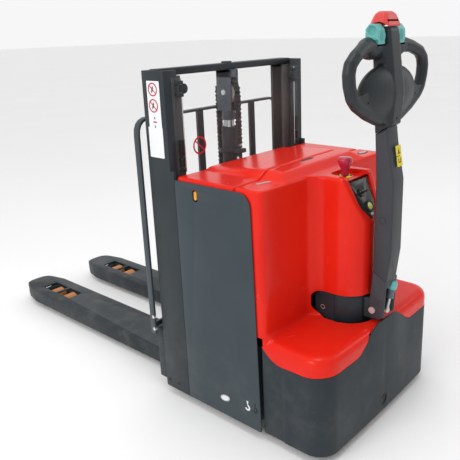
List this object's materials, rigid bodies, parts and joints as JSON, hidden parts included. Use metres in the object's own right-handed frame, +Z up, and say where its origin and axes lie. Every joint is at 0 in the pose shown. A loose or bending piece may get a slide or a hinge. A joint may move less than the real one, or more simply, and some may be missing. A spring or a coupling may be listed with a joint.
{
  "type": "electric pallet stacker truck",
  "caption": "Pedestrian electric pallet truck with a low lifting mast, forks over support legs, a moulded red power head and an upright tiller.",
  "frame": {"origin": "middle of the base, on the floor", "axes": "+Z up, +Y towards the fork tips, +X to the right of the truck"},
  "size_m": [0.7864, 2.048, 1.402],
  "materials": {
    "chassis_paint": "satin dark grey paint",
    "panel_paint": "satin blue-grey paint with slight grime",
    "skirt_paint": "satin charcoal paint",
    "mast_paint": "satin dark grey paint",
    "arm_paint": "satin grey paint",
    "bracket_paint": "satin black paint",
    "fork_paint": "satin dark grey paint, scuffed",
    "backrest_paint": "satin grey paint",
    "cover_red": "glossy orange-red moulding",
    "head_plastic": "finely textured charcoal moulding",
    "black_plastic": "fine matt",
    "turquoise_plastic": "smooth turquoise moulding",
    "belly_coral": "smooth coral red moulding",
    "stop_red": "glossy red moulding",
    "gauge_plastic": "clear lens over a pale dial",
    "battery_case": "moulded case",
    "roller_polyurethane": "cast polyurethane",
    "drive_tyre": "cast polyurethane",
    "castor_rubber": "black rubber",
    "rail_steel": "rolled steel with brown grease",
    "bright_steel": "zinc plated or ground",
    "spring_steel": "ground and ribbed steel",
    "chain_steel": "oiled chain plates",
    "cast_metal": "cast, grey primer",
    "controller_aluminium": "finned extrusion",
    "guard_clear": "clear polycarbonate"
  },
  "bodies": {
    "chassis": {"chassis_frame": "chassis_paint", "left_side_panel": "panel_paint", "right_side_panel": "panel_paint", "left_outer_rail": "mast_paint", "right_outer_rail": "mast_paint", "mast_base_tie": "mast_paint", "mast_rear_tie": "mast_paint", "lift_cylinder_tube": "mast_paint", "chain_anchor_bracket": "mast_paint", "mast_guard_panel": "guard_clear", "bumper_skirt": "skirt_paint", "pump_hood": "cover_red", "front_cover": "cover_red", "control_panel": "black_plastic", "key_switch": "bright_steel", "battery_gauge": "gauge_plastic", "battery": "battery_case", "hydraulic_power_unit": "cast_metal", "motor_controller": "controller_aluminium", "steering_bearing": "bright_steel", "left_support_leg": "fork_paint", "right_support_leg": "fork_paint"},
    "steering_unit": {"drive_gearbox": "cast_metal", "traction_motor": "cast_metal", "tiller_bracket": "bracket_paint", "steer_slot_guard": "black_plastic", "tiller_pin": "bright_steel"},
    "drive_wheel": {"drive_wheel_tyre": "drive_tyre", "drive_wheel_hub": "cast_metal"},
    "tiller": {"tiller_arm": "arm_paint", "tiller_head": "head_plastic", "gas_spring": "spring_steel"},
    "belly_button": {"belly_button": "belly_coral"},
    "thumb_wheels": {"left_thumb_wheel": "turquoise_plastic", "right_thumb_wheel": "turquoise_plastic"},
    "lift_button": {"lift_button": "black_plastic"},
    "lower_button": {"lower_button": "black_plastic"},
    "emergency_stop": {"emergency_stop_button": "stop_red"},
    "ignition_key": {"ignition_key": "bright_steel"},
    "inner_mast": {"left_inner_rail": "rail_steel", "right_inner_rail": "rail_steel", "inner_mast_top_beam": "mast_paint", "chain_head_block": "mast_paint", "chain_wheel_pin": "bright_steel", "lift_rod": "bright_steel", "lift_chain_front_run": "chain_steel", "lift_chain_rear_run": "chain_steel"},
    "chain_wheel": {"chain_wheel": "bright_steel"},
    "carriage": {"carriage_frame": "mast_paint", "load_backrest": "backrest_paint", "left_fork": "fork_paint", "right_fork": "fork_paint"},
    "left_rear_load_roller": {"left_rear_load_roller": "roller_polyurethane"},
    "left_front_load_roller": {"left_front_load_roller": "roller_polyurethane"},
    "left_castor_fork": {"left_castor_fork": "bright_steel"},
    "left_castor_wheel": {"left_castor_wheel": "castor_rubber"},
    "right_rear_load_roller": {"right_rear_load_roller": "roller_polyurethane"},
    "right_front_load_roller": {"right_front_load_roller": "roller_polyurethane"},
    "right_castor_fork": {"right_castor_fork": "bright_steel"},
    "right_castor_wheel": {"right_castor_wheel": "castor_rubber"}
  },
  "joints": [
    {"name": "steering", "type": "hinge", "parent": "chassis", "child": "steering_unit", "pos_m": [0, -0.844, 0.35], "axis": [0, 0, 1], "range_deg": [-85, 85]},
    {"name": "drive_wheel_spin", "type": "hinge", "parent": "steering_unit", "child": "drive_wheel", "pos_m": [0, -0.844, 0.115], "axis": [1, 0, 0], "continuous": true},
    {"name": "tiller_tilt", "type": "hinge", "parent": "steering_unit", "child": "tiller", "pos_m": [0, -0.962, 0.43], "axis": [1, 0, 0], "range_deg": [0, 75], "stiffness_Nm_per_rad": 60, "springref_deg": -28.65},
    {"name": "belly_button_press", "type": "slide", "parent": "tiller", "child": "belly_button", "axis": [0, 0, -1], "range_m": [0, 0.004], "stiffness_N_per_m": 1500, "springref_m": -0.003},
    {"name": "thumb_wheels_turn", "type": "hinge", "parent": "tiller", "child": "thumb_wheels", "pos_m": [0, -0.96, 1.332], "axis": [1, 0, 0], "range_deg": [-35, 35], "stiffness_Nm_per_rad": 0.4},
    {"name": "lift_button_press", "type": "slide", "parent": "tiller", "child": "lift_button", "axis": [0, -1, 0], "range_m": [0, 0.002], "stiffness_N_per_m": 600, "springref_m": -0.002},
    {"name": "lower_button_press", "type": "slide", "parent": "tiller", "child": "lower_button", "axis": [0, -1, 0], "range_m": [0, 0.002], "stiffness_N_per_m": 600, "springref_m": -0.002},
    {"name": "emergency_stop_press", "type": "slide", "parent": "chassis", "child": "emergency_stop", "axis": [0, 0, -1], "range_m": [0, 0.004], "stiffness_N_per_m": 1200, "springref_m": -0.003},
    {"name": "ignition_key_turn", "type": "hinge", "parent": "chassis", "child": "ignition_key", "pos_m": [-0.014, -0.8904, 0.8285], "axis": [0, -0.8929, 0.4502], "range_deg": [0, 60]},
    {"name": "mast_lift", "type": "slide", "parent": "chassis", "child": "inner_mast", "axis": [0, 0, 1], "range_m": [0, 0.75], "deforming": ["lift_chain_rear_run"]},
    {"name": "chain_wheel_turn", "type": "hinge", "parent": "inner_mast", "child": "chain_wheel", "pos_m": [0, -0.293, 1.135], "axis": [1, 0, 0], "range_deg": [0, 900]},
    {"name": "carriage_lift", "type": "slide", "parent": "inner_mast", "child": "carriage", "axis": [0, 0, 1], "range_m": [0, 0.75], "deforming": ["lift_chain_front_run"]},
    {"name": "left_rear_load_roller_spin", "type": "hinge", "parent": "chassis", "child": "left_rear_load_roller", "pos_m": [-0.19, 0.711, 0.041], "axis": [1, 0, 0], "continuous": true},
    {"name": "left_front_load_roller_spin", "type": "hinge", "parent": "chassis", "child": "left_front_load_roller", "pos_m": [-0.19, 0.821, 0.041], "axis": [1, 0, 0], "continuous": true},
    {"name": "left_castor_swivel", "type": "hinge", "parent": "chassis", "child": "left_castor_fork", "pos_m": [-0.255, -0.854, 0.139], "axis": [0, 0, 1], "continuous": true},
    {"name": "left_castor_wheel_spin", "type": "hinge", "parent": "left_castor_fork", "child": "left_castor_wheel", "pos_m": [-0.255, -0.824, 0.05], "axis": [1, 0, 0], "continuous": true},
    {"name": "right_rear_load_roller_spin", "type": "hinge", "parent": "chassis", "child": "right_rear_load_roller", "pos_m": [0.19, 0.711, 0.041], "axis": [1, 0, 0], "continuous": true},
    {"name": "right_front_load_roller_spin", "type": "hinge", "parent": "chassis", "child": "right_front_load_roller", "pos_m": [0.19, 0.821, 0.041], "axis": [1, 0, 0], "continuous": true},
    {"name": "right_castor_swivel", "type": "hinge", "parent": "chassis", "child": "right_castor_fork", "pos_m": [0.255, -0.854, 0.139], "axis": [0, 0, 1], "continuous": true},
    {"name": "right_castor_wheel_spin", "type": "hinge", "parent": "right_castor_fork", "child": "right_castor_wheel", "pos_m": [0.255, -0.824, 0.05], "axis": [1, 0, 0], "continuous": true}
  ],
  "couplings": [
    {"joint": "carriage_lift", "follows": "mast_lift", "ratio": 1},
    {"joint": "chain_wheel_turn", "follows": "mast_lift", "rad_per_m": 20.408}
  ]
}
